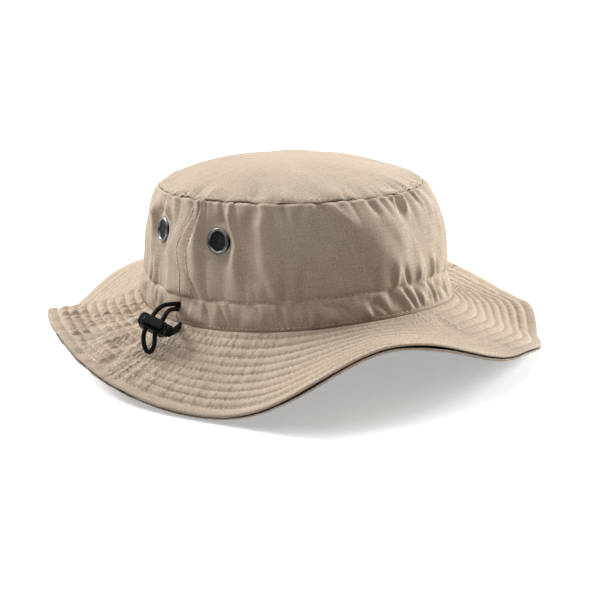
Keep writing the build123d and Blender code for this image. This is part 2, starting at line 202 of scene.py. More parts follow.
def noise(across, along, seed, period):
    """Smooth noise from -1 to 1 on a unit grid, which repeats after period cells across.

    A sine with large factors gives each corner of the grid a scattered value of its own.
    """
    cell_x, cell_y = np.floor(across), np.floor(along)
    share_x, share_y = ease(across - cell_x, 0, 1), ease(along - cell_y, 0, 1)

    def corner(step_x, step_y):
        mixed = np.sin(((cell_x + step_x) % period) * 12.9898 + (cell_y + step_y) * 78.233 + seed * 37.719)
        spread = mixed * 4375.5453
        return 2 * (spread - np.floor(spread)) - 1

    low = corner(0, 0) * (1 - share_x) + corner(1, 0) * share_x
    high = corner(0, 1) * (1 - share_x) + corner(1, 1) * share_x
    return low * (1 - share_y) + high * share_y


# ---- the crown's and the brim's surfaces ----

def ring(heading, half_width, half_length, height, saddle):
    turn = np.radians(heading)
    across = half_width * np.cos(turn)
    along = half_length * np.sin(turn)
    reach = np.hypot(across, along)
    rise = height + saddle * (along**2 - across**2) / reach**2
    return np.stack([half_width * across / reach, half_length * along / reach, rise], -1)


def wall_axes(heading):
    """Foot of the crown's side, its direction up the cloth and its direction out of it."""
    foot = ring(heading, **BRIM_SEAM)
    up = unit(ring(heading, **TOP_SEAM) - foot)
    turn = np.radians(heading)
    return foot, up, np.cross(up, unit(np.cross(flat_direction(turn), up)))


def wall_height(heading):
    return np.linalg.norm(ring(heading, **TOP_SEAM) - ring(heading, **BRIM_SEAM), axis=-1)


ROUND = np.linspace(ROUND_START, SIDE_SEAM, 721)
steps_round = np.linalg.norm(np.diff(ring(ROUND, **BRIM_SEAM), axis=0), axis=1)
GIRTH = steps_round.sum()
LENGTH_ROUND = np.concatenate([[0], np.cumsum(steps_round)])


def round_length(heading):
    """Length round the brim seam from the right side seam to a heading, in millimetres."""
    return np.interp(away(heading, LEFT_SEAM), ROUND - LEFT_SEAM, LENGTH_ROUND)


def folds(heading, along, count, length, seed, slant=0.0):
    """Smooth folds: count cells once round, each this long, leaning by slant cells per millimetre."""
    across = round_length(heading) / GIRTH * count + slant * along
    return noise(across, along / length, seed, count)


CHANNEL_LINE = 16.2         # stitch lines up the crown's side
FOOT_LINE = 2.4
TOP_LINE = 1.8              # stitch line on the crown's top, in from its seam

# how strong each kind of pucker is, by heading
SEAM_PUCKERS = [(-183, 1.0), (-150, 0.9), (-135, 0.5), (-115, 0.7), (-95, 1.0), (-60, 0.9), (0, 0.7),
                (60, 0.8), (120, 0.7), (150, 0.8), (178, 1.0)]
GATHERS = [(-183, 1.5), (-165, 0.9), (-120, 0.5), (-100, 1.1), (-60, 1.1), (-30, 0.6), (60, 0.6),
           (140, 0.9), (158, 1.6), (178, 1.5)]
CHANNEL_FOLDS = [(-183, 1.0), (-165, 1.6), (-128, 1.9), (-105, 1.7), (-70, 1.3), (-40, 0.9),
                 (40, 0.8), (110, 0.8), (150, 1.3), (178, 1.0)]

FOLD_STRENGTH = 2.5
DEEPEST = 2.4               # no fold goes further in than this, or the tapes inside would show
# single folds down the side: heading and height of each end, width and height of the ridge
SIDE_FOLDS = [
    ((-161.0, 66), (-160.5, 22), 3.0, 1.5),
    ((-165.3, 60), (-164.2, 20), 2.6, -1.3),
    ((-153.5, 62), (-155.5, 26), 4.5, -0.9),
    ((-149.0, 60), (-150.5, 20), 4.0, 0.8),
    ((-144.0, 64), (-141.0, 24), 5.0, -0.7),
    ((-125.5, 66), (-118.0, 46), 4.0, -1.0),
    ((-120.5, 66), (-112.0, 44), 4.0, 0.7),
    ((-87.0, 66), (-89.0, 50), 2.2, -1.0),
    ((-84.0, 66), (-85.5, 48), 2.4, 0.9),
    ((-76.5, 66), (-73.0, 54), 2.0, -0.9),
    ((-104.0, 66), (-101.0, 54), 2.2, -0.7),
    ((-100.0, 17), (-98.0, 32), 2.4, 0.7),
    ((-93.0, 17), (-95.0, 28), 2.0, -0.7),
    ((-86.0, 17), (-84.0, 27), 2.0, 0.6),
    ((-75.0, 17), (-72.0, 32), 2.4, 0.8),
    ((-69.0, 17), (-68.0, 28), 2.0, -0.7),
    ((-206.0, 60), (-200.0, 24), 3.2, 1.0),
    ((-201.0, 62), (-193.0, 26), 3.0, -0.9),
    ((-195.0, 64), (-189.0, 30), 2.6, 0.9),
    ((-147.0, 17), (-152.0, 42), 3.0, 0.7),
    ((-145.0, 17), (-143.0, 44), 2.6, -0.7),
    ((-142.5, 17), (-136.0, 46), 3.0, 0.6),
    ((-172.0, 17), (-178.5, 36), 2.2, 0.7),
    ((-175.5, 17), (-181.0, 32), 1.8, -0.6),
    ((-132.5, 66), (-136.0, 50), 2.6, -0.7),
    ((-140.0, 66), (-138.0, 54), 2.0, -0.7),
    ((-176.0, 64), (-174.0, 20), 3.0, 0.8),
    ((-172.0, 40), (-171.0, 18), 3.0, -0.7),
]


def seam_wander(heading, height):
    """The right side seam wanders off its straight line; the cloth beside it follows."""
    shift = profile(height, [(4, 0.0), (18, 0.8), (42, -1.6), (66, 5.4)])
    return shift * bump(away(heading, SIDE_SEAM), 9.0)


def near_eyelet(heading, height):
    """Distance along the cloth to the nearest eyelet's centre."""
    nearest = np.full(np.broadcast(heading, height).shape, 1e3)
    for centre in EYELETS.values():
        pitch = np.linalg.norm(ring(centre + 0.5, **TOP_SEAM) - ring(centre - 0.5, **TOP_SEAM)) * 1.03
        nearest = np.minimum(nearest, np.hypot(away(heading, centre) * pitch, height - EYELET_HEIGHT))
    return nearest


# how far the crown's side stands off the straight line between its seams, least at the eyelets
BULGE = [(-183, 1.8), (-167, 1.2), (-153, 3.4), (-130, 4.2), (-90, 4.6), (-45, 6.0), (-30, 4.0),
         (-17, 1.2), (0, 1.8), (13, 1.2), (30, 4.0), (70, 5.0), (120, 5.2), (145, 4.8), (163, 1.4),
         (177, 1.8)]
WIDEST = 0.74               # share of the side's height where it stands out most


def bulge(heading, height):
    top = wall_height(heading)
    rising = np.clip((height - CHANNEL_LINE) / (WIDEST * top - CHANNEL_LINE), 0, 1)
    falling = np.clip((height / top - WIDEST) / (1 - WIDEST), 0, 1)
    shape = np.sin(np.pi / 2 * rising**0.7) * (1 - falling**2.4) ** 0.8
    return by_heading(heading, BULGE) * shape


def pleated(waves):
    """Turns smooth waves into round ridges with sharp valleys between them."""
    return 1.9 * np.abs(waves) - 0.6


def wall_relief(heading, height):
    """How far the side's cloth stands off its straight wall: folds, puckers, gathers and seams."""
    below = wall_height(heading) - height
    above = height - CHANNEL_LINE
    free = ease(above, 0, 16) * ease(below, 0, 16)
    relief = (2.0 * folds(heading, height, 20, 70.0, 1, 0.01)
              + 1.2 * folds(heading, height, 52, 36.0, 2)) * free
    relief += 0.45 * folds(heading, height, 90, 14.0, 3, 0.05) * free
    for (top_heading, top), (low_heading, low), width, rise in SIDE_FOLDS:
        share = (height - low) / (top - low)
        line = low_heading + (top_heading - low_heading) * share
        lies = ease(share, -0.1, 0.65) * ease(-share, -1.15, -0.9)
        spread = width * (1.4 - 0.7 * np.clip(share, 0, 1))
        relief += FOLD_STRENGTH * rise * lies * bump(away(heading, line) * FOLD_PITCH, spread)
    near_top = np.exp(-np.maximum(below, 0) / 10.0)
    puckers = pleated(folds(heading, height, 96, 34.0, 4, 0.03))
    relief += 1.45 * by_heading(heading, SEAM_PUCKERS) * near_top * puckers
    gathered = np.where(above > 0, np.exp(-np.maximum(above, 0) / 8.0), 0)
    gathers = pleated(folds(heading, height, 84, 26.0, 5))
    relief += 1.3 * by_heading(heading, GATHERS) * gathered * gathers
    # The channel is a puffed tube between its two stitch lines, gathered by the cord inside.
    inside = np.clip((height - FOOT_LINE) / (CHANNEL_LINE - FOOT_LINE), 0, 1)
    puff = np.sin(np.pi * inside) ** 0.6
    creased = (1.1 * pleated(folds(heading, height, 96, 22.0, 6, 0.06))
               + 0.6 * folds(heading, height, 200, 9.0, 7))
    relief += puff * (0.8 + by_heading(heading, CHANNEL_FOLDS) * creased)
    # stitch lines pull in; the top edge rolls over into the crown seam, the foot into the brim seam
    relief -= 0.45 * bump(above, 0.7) + 0.3 * bump(height - FOOT_LINE, 0.6)
    relief += 0.35 * bump(below - 1.6, 1.1) - 1.0 * bump(below, 0.7)
    relief -= 0.5 * bump(height - 0.5, 0.8)
    # The right side seam is felled: a raised band with a row of stitches along each edge.
    seam_side = away(heading, SIDE_SEAM) * SEAM_PITCH
    band = ease(seam_side, -0.3, 0.1) * ease(-seam_side, -6.0, -5.4)
    relief += 0.45 * band * ease(above, -1, 1)
    relief -= 0.35 * bump(seam_side, 0.45) + 0.3 * bump(seam_side - 5.0, 0.5)
    relief += 0.35 * bump(seam_side + 1.5, 2.4) * folds(heading, height, 400, 4.2, 8)
    flat = ease(near_eyelet(heading, height), 7.0, 12.0)
    return np.where(relief < 0, DEEPEST * np.tanh(relief / DEEPEST), relief) * flat


def wall(heading, height, out=0.0, cloth=True):
    """Points of the crown's side, at a height up its cloth."""
    heading, height = matched(heading, height)
    relief = out + bulge(heading, height) * ease(near_eyelet(heading, height), 7.0, 16.0)
    if cloth:
        relief = relief + wall_relief(heading, height)
        heading = heading + seam_wander(heading, height)
    foot, up, outward = wall_axes(heading)
    return foot + up * height[..., None] + outward * np.asarray(relief)[..., None]


ROW_FIRST = 3.7             # stitch rows of the brim, out from its seam
ROW_PITCH = 5.7
ROW_COUNT = 9
BRIM_ROWS = [ROW_FIRST + ROW_PITCH * row for row in range(ROW_COUNT)]
STITCH = 3.0                # one stitch and its gap
PUCKER_CELLS = 420          # fine puckers once round the brim

BRIM_PUCKERS = [(-183, 0.75), (-172, 0.5), (-158, 0.25), (-120, 0.15), (-60, 0.25), (-20, 0.35),
                (-2, 0.6), (20, 0.4), (80, 0.25), (130, 0.3), (146, 0.8), (156, 1.35), (174, 1.4),
                (177, 0.9), (178, 0.75)]


def brim_droop(heading):
    turn = (np.asarray(heading, float) - BRIM_WAVES[0][0]) % 360 + BRIM_WAVES[0][0]
    result = np.zeros_like(turn)
    for (start, first), (end, last) in zip(BRIM_WAVES, BRIM_WAVES[1:]):
        share = (1 - np.cos(np.pi * (turn - start) / (end - start))) / 2
        result = np.where((turn >= start) & (turn <= end), first + (last - first) * share, result)
    return result


def brim_base(heading, along):
    """Points of the brim's smooth top surface, out from the seam along its slope."""
    droop = np.radians(brim_droop(heading))
    turn = np.radians(heading)
    share = along / BRIM_WIDTH
    middle = BRIM_WIDTH / 2 * (np.sin(droop) + 4 * BRIM_SAG / BRIM_WIDTH)
    inner, outer = 2 * share * (1 - share), share * share
    outward = inner * BRIM_WIDTH / 2 * np.cos(droop) + outer * BRIM_WIDTH * np.cos(droop)
    level = -inner * middle - outer * BRIM_WIDTH * np.sin(droop)
    return (ring(heading, **BRIM_SEAM) + flat_direction(turn) * outward[..., None]
            + np.array([0.0, 0.0, 1.0]) * level[..., None])


def brim_relief(heading, along, side):
    """Quilting of one face of the brim: soft ridges between the stitch rows, puckered near the seams."""
    row = (along - ROW_FIRST) / ROW_PITCH
    inside = ease(row, -0.9, -0.5) * (row < ROW_COUNT - 1)
    ridge = np.abs(np.sin(np.pi * row)) ** 0.65
    margin = ease(row, ROW_COUNT - 1, ROW_COUNT - 0.3)
    relief = inside * ridge + 0.75 * margin - 0.15
    wide = noise(round_length(heading) / GIRTH * 46, along / 22.0, 11 + side, 46)
    relief += 0.35 * wide * ease(along, 2, 14)
    strength = by_heading(heading, BRIM_PUCKERS)
    across = round_length(heading) / GIRTH * PUCKER_CELLS
    band = np.floor(row) + 0.5 * ease(np.mod(row, 1), 0.0, 1.0)
    ridges = noise(across + 0.1 * np.floor(row), band * 0.3, 12 + side, PUCKER_CELLS)
    coarse = noise(across / 3, along / 14.0, 14 + side, PUCKER_CELLS // 3)
    edge_fade = 1 - 0.6 * ease(along, 51, 55)
    fine = 1.1 * pleated(ridges) * ridge * inside
    relief += strength * (fine + 0.8 * coarse * ease(along, 1, 9)) * edge_fade
    edge_puckers = noise(across / 2, along / 20.0, 15 + side, PUCKER_CELLS // 2)
    relief += strength * margin * 0.6 * edge_puckers * edge_fade
    # stitches pinch the cloth at every needle hole
    nearest = np.abs(row - np.round(row)) * ROW_PITCH
    stitched = (np.round(row) >= 0) & (np.round(row) < ROW_COUNT)
    around = round_length(heading) * (1 + along / 105.0)
    relief -= stitched * bump(nearest, 0.75) * (0.28 + 0.2 * np.cos(2 * np.pi * around / STITCH))
    # The radial seams at both sides are pressed open, a crease between two low ridges.
    for centre in (SIDE_SEAM + 1.0, LEFT_SEAM):
        seam_side = away(heading, centre) * (SEAM_PITCH + along / 60)
        pressed = 0.3 * bump(np.abs(seam_side) - 1.6, 1.2) - 0.5 * bump(seam_side, 0.35)
        relief += pressed * ease(along, 0, 4)
    return relief


def normals_of(surface, heading, along):
    """Normals of a surface of heading and distance, from small steps along it."""
    turn_step = surface(heading + 0.05, along) - surface(heading - 0.05, along)
    out_step = surface(heading, along + 0.05) - surface(heading, along - 0.05)
    return unit(np.cross(out_step, turn_step))


def brim(heading, along, depth, side):
    """Points of the brim's cloth, depth below its smooth top; side 1 is the top face, -1 the lower."""
    heading, along, depth = matched(heading, along, depth)
    relief = side * brim_relief(heading, along, side) - depth
    return brim_base(heading, along) + normals_of(brim_base, heading, along) * relief[..., None]


def dome(heading, inset):
    """Points of the crown's top, inset from its seam; heading is that of the rim point it lies under."""
    heading, inset = matched(heading, inset)
    rim = ring(heading, **TOP_SEAM)
    radius = np.hypot(rim[..., 0], rim[..., 1])
    share = np.clip(1 - inset / radius, 0, 1)
    height = TOP_SEAM["height"] + TOP_GAP + DOME_RISE * (1 - share**DOME_FULLNESS)
    return np.stack([rim[..., 0] * share, rim[..., 1] * share, height + dome_relief(heading, inset)], -1)


def dome_relief(heading, inset):
    """Soft creases that run in from the crown's seam, and the rim's fold down into it."""
    strength = by_heading(heading, SEAM_PUCKERS)
    fade = np.exp(-inset / 18.0)
    short = np.exp(-inset / 7.0)
    relief = strength * 2.7 * fade * ease(inset, 0, 6) * folds(heading, inset, 44, 40.0, 21, 0.02)
    relief += strength * 1.1 * short * pleated(folds(heading, inset, 96, 30.0, 22))
    relief += 0.8 * folds(heading, inset, 11, 60.0, 23) * ease(inset, 6, 30) * (1 - ease(inset, 34, 66))
    relief -= 0.9 * bump(inset, 0.8) + 0.28 * bump(inset - TOP_LINE, 0.6)
    relief += 0.25 * bump(inset - 0.9, 0.6)
    return relief


# ---- making meshes ----

def build(name, points, faces, material, cloth_map=None):
    """A smooth mesh from hat-frame points; cloth_map holds each point's place on the flat cloth, in mm."""
    mesh = bpy.data.meshes.new(name)
    mesh.from_pydata(stand(points).tolist(), [], [tuple(int(i) for i in face) for face in faces])
    mesh.polygons.foreach_set("use_smooth", [True] * len(mesh.polygons))
    if cloth_map is not None:
        loops = np.zeros(len(mesh.loops), np.int32)
        mesh.loops.foreach_get("vertex_index", loops)
        layer = mesh.uv_layers.new(name="cloth")
        layer.data.foreach_set("uv", (np.asarray(cloth_map, float)[loops] * MM).ravel())
    mesh.materials.append(material)
    mesh.validate()
    return placed(name, mesh)


def grid_faces(columns, rows):
    """Quads of a grid stored column by column."""
    column, row = grid(np.arange(columns - 1), np.arange(rows - 1))
    start = (column * rows + row).ravel()
    after = start + rows
    return np.stack([start, after, after + 1, start + 1], -1)


def point_normals(points, faces):
    a, b, c, d = (points[faces[:, i]] for i in range(4))
    normal = np.cross(c - a, d - b)
    total = np.zeros_like(points)
    for i in range(4):
        np.add.at(total, faces[:, i], normal)
    length = np.linalg.norm(total, axis=1, keepdims=True)
    return total / np.maximum(length, 1e-9)


def rim_of(faces):
    """Edges used by one face only, in that face's direction."""
    edges = np.concatenate([faces[:, [i, (i + 1) % 4]] for i in range(4)])
    ordered = np.sort(edges, axis=1)
    _, index, count = np.unique(ordered, axis=0, return_index=True, return_counts=True)
    return edges[index[count == 1]]


def shell(points, faces, thickness):
    """A closed cloth from its outer face: the same face again, this far in, and a rim."""
    count = len(points)
    inner = points - point_normals(points, faces) * thickness
    edges = rim_of(faces)
    rim = np.stack([edges[:, 1], edges[:, 0], edges[:, 0] + count, edges[:, 1] + count], -1)
    return np.concatenate([points, inner]), np.concatenate([faces, faces[:, ::-1] + count, rim])


def used_only(points, faces, *others):
    """The points that faces use, the faces renumbered, and the same rows of other arrays."""
    used, renumbered = np.unique(faces, return_inverse=True)
    return (points[used], renumbered.reshape(faces.shape), *(other[used] for other in others))


def tube_faces(rings, sides):
    """Quads between the rings of a tube, and a cap on each end."""
    faces = []
    for index in range(rings - 1):
        low, high = index * sides, (index + 1) * sides
        for turn in range(sides):
            after = (turn + 1) % sides
            faces.append((low + turn, low + after, high + after, high + turn))
    last = (rings - 1) * sides
    return faces + [tuple(range(sides))[::-1], tuple(range(last, last + sides))]


def tube(path, radius, sides=14):
    """Points, quads and map of a round tube along a path, closed at both ends by its last rings."""
    path = np.asarray(path, float)
    tangent = unit(np.gradient(path, axis=0))
    normal = unit(np.cross(tangent[0], (0.3, 0.1, 0.95)))
    length = lengths_along(path)
    turns = np.linspace(0, 2 * np.pi, sides, endpoint=False)
    rings, places = [], []
    for index, centre in enumerate(path):
        normal = unit(normal - tangent[index] * (normal @ tangent[index]))
        side = np.cross(tangent[index], normal)
        rings.append(centre + radius * (np.cos(turns)[:, None] * normal + np.sin(turns)[:, None] * side))
        places.append(np.stack([turns * radius, np.full(sides, length[index])], -1))
    return np.concatenate(rings), tube_faces(len(path), sides), np.concatenate(places)


def lathe(centre, axes, outline, segments):
    """Ring turned about axes[2] from a closed outline of (radius, height) pairs."""
    turns = np.linspace(0, 2 * np.pi, segments, endpoint=False)
    radius, height = np.array(outline, float).T
    local = np.stack([np.outer(np.cos(turns), radius), np.outer(np.sin(turns), radius),
                      np.tile(height, (segments, 1))], -1).reshape(-1, 3)
    rows = len(outline)
    faces = []
    for turn in range(segments):
        for row in range(rows):
            a, b = turn * rows + row, ((turn + 1) % segments) * rows + row
            c, d = ((turn + 1) % segments) * rows + (row + 1) % rows, turn * rows + (row + 1) % rows
            faces.append((a, b, c, d))
    return centre + local @ axes, faces


# ---- materials ----

class Nodes:
    """Short hand for building a material's nodes."""

    def __init__(self, name, roughness, metallic=0.0, sheen=0.0, specular=0.5):
        self.material = bpy.data.materials.new(name)
        self.material.use_nodes = True
        self.tree = self.material.node_tree
        self.shader = self.tree.nodes["Principled BSDF"]
        self.shader.inputs["Roughness"].default_value = roughness
        self.shader.inputs["Metallic"].default_value = metallic
        self.shader.inputs["Sheen Weight"].default_value = sheen
        self.shader.inputs["Sheen Roughness"].default_value = 0.5
        self.shader.inputs["Specular IOR Level"].default_value = specular

    def add(self, kind, inputs=None, **settings):
        node = self.tree.nodes.new(kind)
        for key, value in settings.items():
            setattr(node, key, value)
        for key, value in (inputs or {}).items():
            self.put(node, key, value)
        return node

    def put(self, node, key, value):
        if isinstance(value, bpy.types.NodeSocket):
            self.tree.links.new(value, node.inputs[key])
        else:
            node.inputs[key].default_value = value

    def math(self, operation, first, second=0.0):
        return self.add("ShaderNodeMath", {0: first, 1: second}, operation=operation).outputs[0]

    def flat_cloth(self):
        return self.add("ShaderNodeUVMap", uv_map="cloth").outputs[0]

    def scaled(self, vector, scale):
        return self.add("ShaderNodeMapping", {"Vector": vector, "Scale": scale}).outputs[0]

    def noise(self, vector, scale, detail=2.0, roughness=0.5):
        inputs = {"Vector": vector, "Scale": scale, "Detail": detail, "Roughness": roughness}
        return self.add("ShaderNodeTexNoise", inputs).outputs["Fac"]

    def wave(self, vector, scale, direction):
        return self.add("ShaderNodeTexWave", {"Vector": vector, "Scale": scale},
                        bands_direction=direction).outputs["Fac"]

    def ramp(self, factor, *stops):
        """A colour ramp through (position, colour) stops."""
        node = self.add("ShaderNodeValToRGB", {"Fac": factor})
        while len(node.color_ramp.elements) < len(stops):
            node.color_ramp.elements.new(0.5)
        for element, (position, colour) in zip(node.color_ramp.elements, stops):
            element.position = position
            element.color = (*colour, 1)
        return node.outputs["Color"]

    def multiply(self, first, second):
        node = self.add("ShaderNodeMix", data_type="RGBA", blend_type="MULTIPLY")
        node.inputs["Factor"].default_value = 1.0
        self.tree.links.new(first, node.inputs[6])
        self.tree.links.new(second, node.inputs[7])
        return node.outputs[2]

    def colour(self, socket):
        self.put(self.shader, "Base Color", socket)

    def roughness(self, socket):
        self.put(self.shader, "Roughness", socket)

    def bumps(self, *layers):
        """Bump from (height, distance in metres, strength) layers, one over the other."""
        normal = None
        for height, distance, strength in layers:
            node = self.add("ShaderNodeBump", {"Height": height, "Distance": distance, "Strength": strength})
            if normal is not None:
                self.put(node, "Normal", normal)
            normal = node.outputs["Normal"]
        self.put(self.shader, "Normal", normal)


def grey(value):
    return (value,) * 3


WAVE_PERIODS = 20.0         # a wave texture of scale 1 has this many bands in 2 pi of its vector


def woven(name, base, thread_mm, roughness, sheen, grain):
    """Cloth with warp and weft threads, a fine grain of lighter and darker yarns and a soft nap."""
    nodes = Nodes(name, roughness, sheen=sheen, specular=0.25)
    place = nodes.flat_cloth()
    scale = 2 * math.pi / (WAVE_PERIODS * thread_mm * MM)
    warp = nodes.wave(place, scale, "X")
    weft = nodes.wave(place, scale, "Y")
    threads = nodes.math("MULTIPLY", warp, weft)
    speckle = nodes.noise(place, 1100.0, 2.0, 0.7)
    yarn_x = nodes.noise(nodes.scaled(place, (90.0, 1600.0, 1.0)), 1.0)
    yarn_y = nodes.noise(nodes.scaled(place, (1600.0, 90.0, 1.0)), 1.0)
    cloudy = nodes.noise(place, 55.0, 3.0)
    shades = [(speckle, 0.3, 0.7, grain), (yarn_x, 0.3, 0.7, grain * 0.4),
              (yarn_y, 0.3, 0.7, grain * 0.4), (cloudy, 0.35, 0.65, grain * 0.12)]
    colour = nodes.ramp(threads, (0.0, [c * 0.93 for c in base]), (0.6, base))
    for factor, start, end, amount in shades:
        low, high = 1 - amount, min(1.0, 1 + amount)
        colour = nodes.multiply(colour, nodes.ramp(factor, (start, grey(low)), (end, grey(high))))
    nodes.colour(colour)
    nodes.bumps((threads, 0.00006, 0.6), (speckle, 0.00012, 0.35), (yarn_x, 0.00006, 0.4))
    return nodes.material


CLOTH_COLOUR = (0.655, 0.522, 0.405)
THREAD_COLOUR = (0.71, 0.59, 0.47)

crown_cloth = woven("crown_cloth", CLOTH_COLOUR, 0.55, 0.82, 0.1, 0.3)
brim_cloth = woven("brim_cloth", CLOTH_COLOUR, 0.55, 0.82, 0.1, 0.3)
lining = woven("sweatband_cloth", (0.60, 0.48, 0.35), 0.4, 0.9, 0.05, 0.08)
tape = woven("binding_tape", (0.63, 0.52, 0.39), 0.8, 0.85, 0.1, 0.08)
satin = woven("label_satin", (0.83, 0.82, 0.79), 0.3, 0.45, 0.1, 0.03)


def thread_material():
    nodes = Nodes("thread", 0.55, sheen=0.2, specular=0.35)
    place = nodes.flat_cloth()
    twist = nodes.wave(place, 700.0, "DIAGONAL")
    nodes.colour(nodes.ramp(twist, (0.1, [c * 0.86 for c in THREAD_COLOUR]), (0.7, THREAD_COLOUR)))
    nodes.bumps((twist, 0.00005, 0.6))
    return nodes.material


def cord_material():
    """Black elastic cord in a braided sleeve: two sets of yarns cross round the tube."""
    nodes = Nodes("elastic_cord", 0.62, sheen=0.04, specular=0.2)
    place = nodes.flat_cloth()
    yarns = []
    for angle in (35, -35):
        turned = nodes.add("ShaderNodeMapping", {"Vector": place, "Rotation": (0, 0, math.radians(angle))})
        yarns.append(nodes.wave(turned.outputs[0], 420.0, "X"))
    braid = nodes.math("MAXIMUM", *yarns)
    fuzz = nodes.noise(place, 2600.0)
    shade = nodes.ramp(braid, (0.25, (0.003, 0.003, 0.0035)), (0.95, (0.012, 0.012, 0.014)))
    nodes.colour(nodes.multiply(shade, nodes.ramp(fuzz, (0.3, grey(0.7)), (0.7, (1, 1, 1)))))
    nodes.bumps((braid, 0.00012, 0.8), (fuzz, 0.00004, 0.4))
    return nodes.material


def webbing_material():
    nodes = Nodes("webbing", 0.7, sheen=0.04, specular=0.2)
    place = nodes.flat_cloth()
    ribs = nodes.wave(place, 300.0, "Y")
    across = nodes.wave(place, 420.0, "X")
    ground = nodes.math("MULTIPLY", ribs, across)
    fuzz = nodes.noise(place, 2200.0)
    shade = nodes.ramp(ground, (0.1, (0.003, 0.003, 0.0035)), (0.8, (0.012, 0.012, 0.013)))
    nodes.colour(nodes.multiply(shade, nodes.ramp(fuzz, (0.3, grey(0.65)), (0.7, (1, 1, 1)))))
    nodes.bumps((ground, 0.00014, 0.9), (fuzz, 0.00005, 0.5))
    return nodes.material


def solid_place(nodes):
    """Object coordinates, which for these pieces are metres of the row frame."""
    return nodes.add("ShaderNodeTexCoord").outputs["Object"]


def plastic_material():
    """Moulded black plastic: a satin skin with faint flow marks and rubbed high spots."""
    nodes = Nodes("lock_plastic", 0.34, specular=0.22)
    place = solid_place(nodes)
    grain = nodes.noise(place, 3500.0)
    flow = nodes.noise(nodes.scaled(place, (200.0, 900.0, 200.0)), 1.0)
    rubbed = nodes.ramp(flow, (0.35, grey(0.22)), (0.7, grey(0.36)))
    nodes.colour(nodes.ramp(grain, (0.3, (0.003, 0.003, 0.0035)), (0.75, (0.007, 0.007, 0.008))))
    nodes.roughness(rubbed)
    nodes.bumps((grain, 0.00003, 0.35), (flow, 0.00008, 0.3))
    return nodes.material


def metal_material(name, dark, light, roughness, scratch):
    """Plated metal with fine turning marks and slightly worn, lighter patches."""
    nodes = Nodes(name, roughness, metallic=1.0)
    place = solid_place(nodes)
    worn = nodes.noise(place, 420.0, 3.0)
    fine = nodes.noise(place, 4200.0)
    nodes.colour(nodes.ramp(worn, (0.35, dark), (0.7, light)))
    nodes.roughness(nodes.ramp(fine, (0.3, grey(roughness * 0.8)), (0.7, grey(roughness * 1.25))))
    nodes.bumps((fine, scratch, 0.4))
    return nodes.material


thread = thread_material()
elastic = cord_material()
webbing = webbing_material()
plastic = plastic_material()
gunmetal = metal_material("eyelet_metal", (0.17, 0.17, 0.172), (0.35, 0.35, 0.352), 0.33, 0.00002)
screen_metal = metal_material("screen_mesh", grey(0.065), grey(0.12), 0.6, 0.00002)
steel = metal_material("spring_steel", (0.5, 0.5, 0.52), (0.7, 0.7, 0.72), 0.25, 0.00001)

# ---- camera, floor and light ----

CAMERA_HEADING = -42.0      # the camera's azimuth and elevation about the hat's own axes, in degrees
CAMERA_ELEVATION = 13.37
CAMERA_ROLL = -1.7
CAMERA_DISTANCE = 828.3
CAMERA_TARGET = (0.866, -1.979)   # right of the hat's centre and above it, millimetres
LENS = 85.4

azimuth, elevation, roll = (math.radians(x) for x in (CAMERA_HEADING, CAMERA_ELEVATION, CAMERA_ROLL))
back = np.array([math.sin(azimuth) * math.cos(elevation), -math.cos(azimuth) * math.cos(elevation),
                 math.sin(elevation)])
level_right = np.array([math.cos(azimuth), math.sin(azimuth), 0.0])
level_up = np.cross(back, level_right)
right = level_right * math.cos(roll) + level_up * math.sin(roll)
upward = level_up * math.cos(roll) - level_right * math.sin(roll)
eye = level_right * CAMERA_TARGET[0] + np.array([0, 0, CAMERA_TARGET[1]]) + back * CAMERA_DISTANCE

camera_data = bpy.data.cameras.new("camera")
camera_data.lens = LENS
camera_data.sensor_width = 36.0
camera = placed("camera", camera_data)
turned = (np.array([right, upward, back]) @ HAT_AXES).T
camera.matrix_world = Matrix.Translation(Vector(stand(eye))) @ Matrix(turned.tolist()).to_4x4()
bpy.context.scene.camera = camera
camera_data.clip_start = 0.01
camera_data.clip_end = 30.0

view = bpy.context.scene.view_settings
view.view_transform = "Standard"
view.exposure = 0.3
view.gamma = 0.85

FLOOR_LIFT = 0.38           # the floor glows this much for the camera, more further out, to end in white
FLOOR_HALF = 6.0


def floor_material():
    nodes = Nodes("floor", 0.9, specular=0.1)
    nodes.shader.inputs["Base Color"].default_value = (0.86, 0.86, 0.86, 1)
    nodes.shader.inputs["Emission Color"].default_value = (1, 1, 1, 1)
    place = nodes.add("ShaderNodeTexCoord").outputs["Object"]
    distance = nodes.add("ShaderNodeVectorMath", {0: place}, operation="LENGTH").outputs["Value"]
    lift = nodes.add("ShaderNodeMapRange", {"Value": distance, "From Min": 0.3, "From Max": 0.9,
                                            "To Min": FLOOR_LIFT, "To Max": 1.0}).outputs["Result"]
    seen = nodes.add("ShaderNodeLightPath").outputs["Is Camera Ray"]
    nodes.put(nodes.shader, "Emission Strength", nodes.math("MULTIPLY", lift, seen))
    return nodes.material


floor_mesh = bpy.data.meshes.new("floor")
floor_mesh.from_pydata([(-FLOOR_HALF, -FLOOR_HALF, 0), (FLOOR_HALF, -FLOOR_HALF, 0),
                        (FLOOR_HALF, FLOOR_HALF, 0), (-FLOOR_HALF, FLOOR_HALF, 0)], [], [(0, 1, 2, 3)])
floor_mesh.materials.append(floor_material())
floor = placed("floor", floor_mesh)


def view_direction(turn, rise):
    """Direction from the hat, turn degrees to the right of the camera as seen from it and rise up."""
    forward = back @ HAT_AXES
    heading = math.atan2(forward[1], forward[0]) + math.radians(turn)
    return Vector((math.cos(heading) * math.cos(math.radians(rise)),
                   math.sin(heading) * math.cos(math.radians(rise)), math.sin(math.radians(rise))))


LIGHT_COLOUR = (0.95, 0.985, 1.0)
